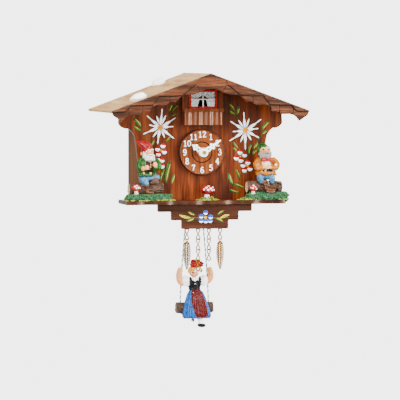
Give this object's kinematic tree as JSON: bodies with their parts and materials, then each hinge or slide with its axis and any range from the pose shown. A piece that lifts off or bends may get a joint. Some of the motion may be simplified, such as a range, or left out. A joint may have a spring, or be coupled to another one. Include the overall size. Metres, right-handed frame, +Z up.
{
  "type": "cuckoo clock",
  "caption": "Chalet-shaped wall clock in carved wood with a round dial, a balcony window, seated figures on a shelf, hanging chains and a doll on a swing.",
  "frame": {"origin": "centre of the hanging hole on the rear face of the back panel, in the plane of the wall", "axes": "+Z up, +Y to the wall, +X to the right of a person who faces the dial"},
  "size_m": [0.222, 0.138, 0.285],
  "materials": {
    "facade_wood": "satin",
    "dark_wood": "satin",
    "side_wood": "satin",
    "plywood": "matte",
    "raw_wood": "matte",
    "dial_wood": "satin",
    "white_plastic": "gloss",
    "black_plastic": "matte",
    "brass": "polished",
    "gold_plate": "polished",
    "steel": "brushed",
    "board_green": "satin",
    "copper_coil": "satin",
    "battery_sleeve": "gloss",
    "speaker_paper": "matte",
    "red_paint": "gloss",
    "curtain_print": "satin",
    "gear_plastic": "satin",
    "painted_resin": "satin",
    "moss": "matte",
    "roof_stone": "polished",
    "log_bark": "matte",
    "cord_twine": "matte"
  },
  "bodies": {
    "case": {"back_panel": "side_wood", "back_panel_screws": "steel", "balcony_rail": "facade_wood", "bargeboard": "dark_wood", "batteries": "battery_sleeve", "battery_contacts": "steel", "battery_holder": "black_plastic", "case_floor": "dark_wood", "corner_battens": "raw_wood", "curtain_plate": "curtain_print", "dial_disc": "dial_wood", "dial_numerals": "white_plastic", "dial_nut": "brass", "drive_coil": "copper_coil", "facade_panel": "facade_wood", "figure_platform": "dark_wood", "gnome_left": "painted_resin", "gnome_right": "painted_resin", "left_side_panel": "side_wood", "moss_tufts": "moss", "movement_circuit_board": "board_green", "movement_front_shell": "black_plastic", "movement_rear_shell": "black_plastic", "mushroom": "painted_resin", "right_side_panel": "side_wood", "roof_board_left": "plywood", "roof_board_right": "plywood", "roof_stones": "roof_stone", "screw_eyes": "brass", "sound_module_board": "board_green", "sound_switch": "black_plastic", "speaker_cone": "speaker_paper", "speaker_frame": "steel", "stepped_apron": "dark_wood", "stepper_motor": "copper_coil", "swing_drive_frame": "black_plastic", "window_bay": "facade_wood", "window_frame": "red_paint"},
    "minute_train": {"minute_arbor": "brass", "minute_hand": "white_plastic", "hand_nut": "brass"},
    "hour_train": {"hour_wheel": "gear_plastic", "hour_hand": "white_plastic"},
    "setting_train": {"motion_wheel": "gear_plastic", "setting_knob": "black_plastic"},
    "swing": {"swing_yoke": "steel", "swing_magnet": "steel", "swing_cord_left": "cord_twine", "swing_cord_right": "cord_twine", "swing_seat": "log_bark", "seat_tie_cord": "cord_twine", "tie_knot": "cord_twine", "doll": "painted_resin"},
    "left_outer_chain": {"chain_left_outer": "gold_plate", "pine_cone_left": "gold_plate"},
    "left_inner_chain": {"chain_left_inner": "gold_plate"},
    "right_inner_chain": {"chain_right_inner": "gold_plate"},
    "right_outer_chain": {"chain_right_outer": "gold_plate", "pine_cone_right": "gold_plate"},
    "slider": {"switch_slider": "white_plastic"}
  },
  "joints": [
    {"name": "minute_turn", "type": "hinge", "parent": "case", "child": "minute_train", "pos_m": [0, -0.08, -0.0635], "axis": [0, -1, 0], "continuous": true},
    {"name": "hour_turn", "type": "hinge", "parent": "case", "child": "hour_train", "pos_m": [0, -0.08, -0.0635], "axis": [0, -1, 0], "continuous": true},
    {"name": "setting_turn", "type": "hinge", "parent": "case", "child": "setting_train", "pos_m": [0, -0.07, -0.071], "axis": [0, -1, 0], "continuous": true},
    {"name": "swing_rock", "type": "hinge", "parent": "case", "child": "swing", "pos_m": [0, -0.052, -0.106], "axis": [1, 0, 0], "range_deg": [-8, 8]},
    {"name": "switch_slide", "type": "slide", "parent": "case", "child": "slider", "axis": [1, 0, 0], "range_m": [0, 0.0024]},
    {"name": "left_outer_sway", "type": "hinge", "parent": "case", "child": "left_outer_chain", "pos_m": [-0.0186, -0.0966, -0.1252], "axis": [1, 0, 0], "range_deg": [-1, 6]},
    {"name": "left_inner_sway", "type": "hinge", "parent": "case", "child": "left_inner_chain", "pos_m": [-0.0059, -0.0966, -0.1252], "axis": [1, 0, 0], "range_deg": [-1, 6]},
    {"name": "right_inner_sway", "type": "hinge", "parent": "case", "child": "right_inner_chain", "pos_m": [0.0063, -0.0966, -0.1252], "axis": [1, 0, 0], "range_deg": [-1, 6]},
    {"name": "right_outer_sway", "type": "hinge", "parent": "case", "child": "right_outer_chain", "pos_m": [0.0191, -0.0966, -0.1252], "axis": [1, 0, 0], "range_deg": [-1, 6]}
  ],
  "couplings": [
    {"joint": "hour_turn", "follows": "minute_turn", "ratio": 0.083333},
    {"joint": "setting_turn", "follows": "minute_turn", "ratio": -0.33333}
  ]
}
